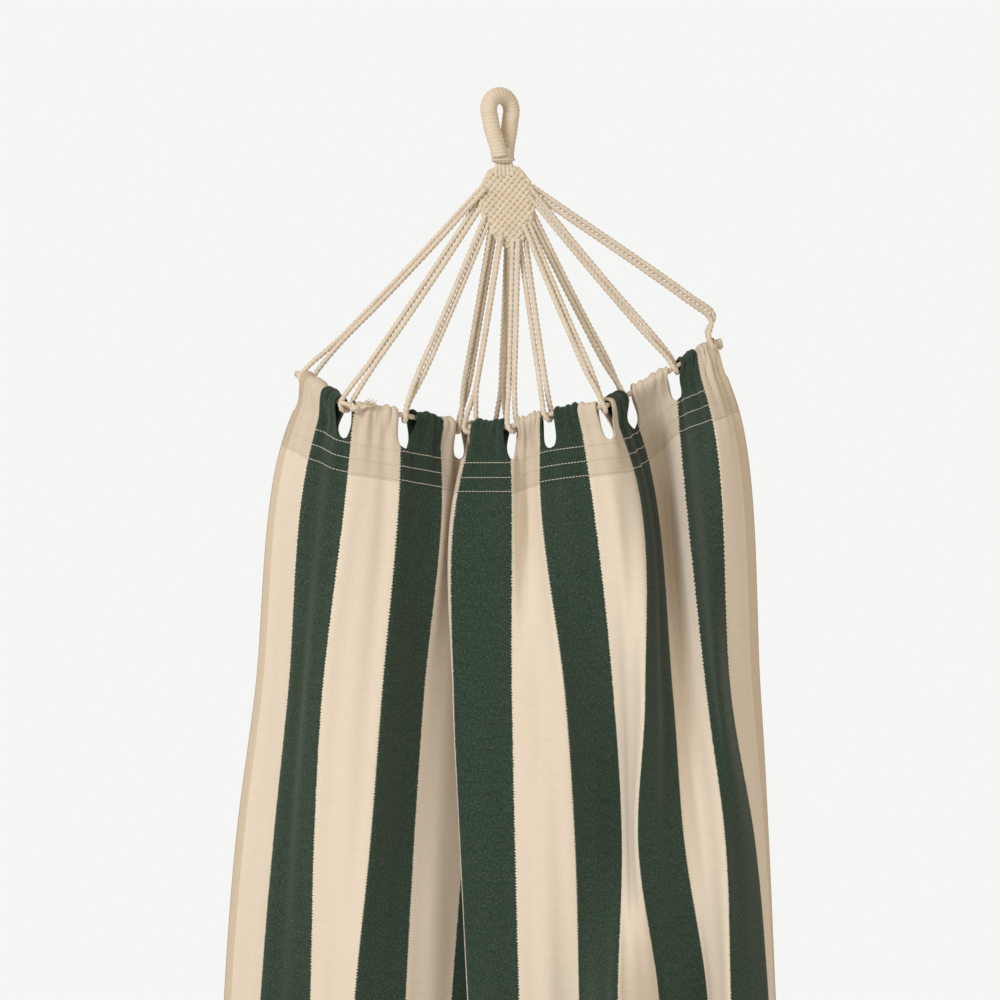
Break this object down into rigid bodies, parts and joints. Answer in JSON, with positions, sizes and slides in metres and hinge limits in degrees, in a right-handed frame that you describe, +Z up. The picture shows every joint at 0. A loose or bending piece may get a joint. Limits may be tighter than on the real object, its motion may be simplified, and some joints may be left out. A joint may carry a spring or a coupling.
{
  "type": "rope hammock",
  "caption": "Striped cloth hammock gathered on a rope at each end, with fanned suspension cords, plaited clews and whipped hanging loops.",
  "frame": {"origin": "inside of the upper loop's crown, where a hook carries it", "axes": "+Z up along the hanging bed, +X across it to the viewer's right, -Y towards the viewer"},
  "size_m": [0.6416, 0.1666, 2.7612],
  "materials": {
    "loop_core": "matte",
    "whipping": "matte",
    "plaited_cord": "matte",
    "suspension_cord": "matte",
    "header_rope": "matte",
    "hem_cloth": "matte",
    "striped_cloth": "matte",
    "thread": "matte"
  },
  "bodies": {
    "upper_loop": {"upper_loop_core": "loop_core", "upper_loop_whipping": "whipping", "upper_neck_binding": "whipping"},
    "upper_end": {"upper_clew": "plaited_cord", "upper_cord_01": "suspension_cord", "upper_cord_02": "suspension_cord", "upper_cord_03": "suspension_cord", "upper_cord_04": "suspension_cord", "upper_cord_05": "suspension_cord", "upper_cord_06": "suspension_cord", "upper_cord_07": "suspension_cord", "upper_cord_08": "suspension_cord", "upper_cord_09": "suspension_cord", "upper_cord_10": "suspension_cord", "upper_cord_11": "suspension_cord", "upper_cord_12": "suspension_cord", "upper_header_rope": "header_rope", "upper_rope_knots": "header_rope", "upper_hem_tunnel": "hem_cloth", "upper_hem_band": "hem_cloth", "upper_hem_stitching": "thread", "bed_upper": "striped_cloth"},
    "bed_centre": {"bed_middle": "striped_cloth"},
    "bed_foot": {"bed_lower": "striped_cloth", "lower_hem_stitching": "thread", "lower_hem_band": "hem_cloth", "lower_hem_tunnel": "hem_cloth", "lower_rope_knots": "header_rope", "lower_header_rope": "header_rope"},
    "lower_end": {"lower_cord_01": "suspension_cord", "lower_cord_02": "suspension_cord", "lower_cord_03": "suspension_cord", "lower_cord_04": "suspension_cord", "lower_cord_05": "suspension_cord", "lower_cord_06": "suspension_cord", "lower_cord_07": "suspension_cord", "lower_cord_08": "suspension_cord", "lower_cord_09": "suspension_cord", "lower_cord_10": "suspension_cord", "lower_cord_11": "suspension_cord", "lower_cord_12": "suspension_cord", "lower_clew": "plaited_cord"},
    "lower_loop": {"lower_neck_binding": "whipping", "lower_loop_whipping": "whipping", "lower_loop_core": "loop_core"}
  },
  "joints": [
    {"name": "upper_neck_bend", "type": "hinge", "parent": "upper_loop", "child": "upper_end", "pos_m": [0.004, 0, -0.07], "axis": [1, 0, 0], "range_deg": [-40, 40]},
    {"name": "upper_fold", "type": "hinge", "parent": "upper_end", "child": "bed_centre", "pos_m": [0, 0, -1.042], "axis": [1, 0, 0], "range_deg": [-45, 45]},
    {"name": "lower_fold", "type": "hinge", "parent": "bed_centre", "child": "bed_foot", "pos_m": [0, 0, -1.702], "axis": [1, 0, 0], "range_deg": [-45, 45]},
    {"name": "lower_cord_swing", "type": "hinge", "parent": "bed_foot", "child": "lower_end", "pos_m": [0, 0, -2.362], "axis": [1, 0, 0], "range_deg": [-80, 80]},
    {"name": "lower_neck_bend", "type": "hinge", "parent": "lower_end", "child": "lower_loop", "pos_m": [0, 0, -2.654], "axis": [1, 0, 0], "range_deg": [-40, 40]}
  ]
}
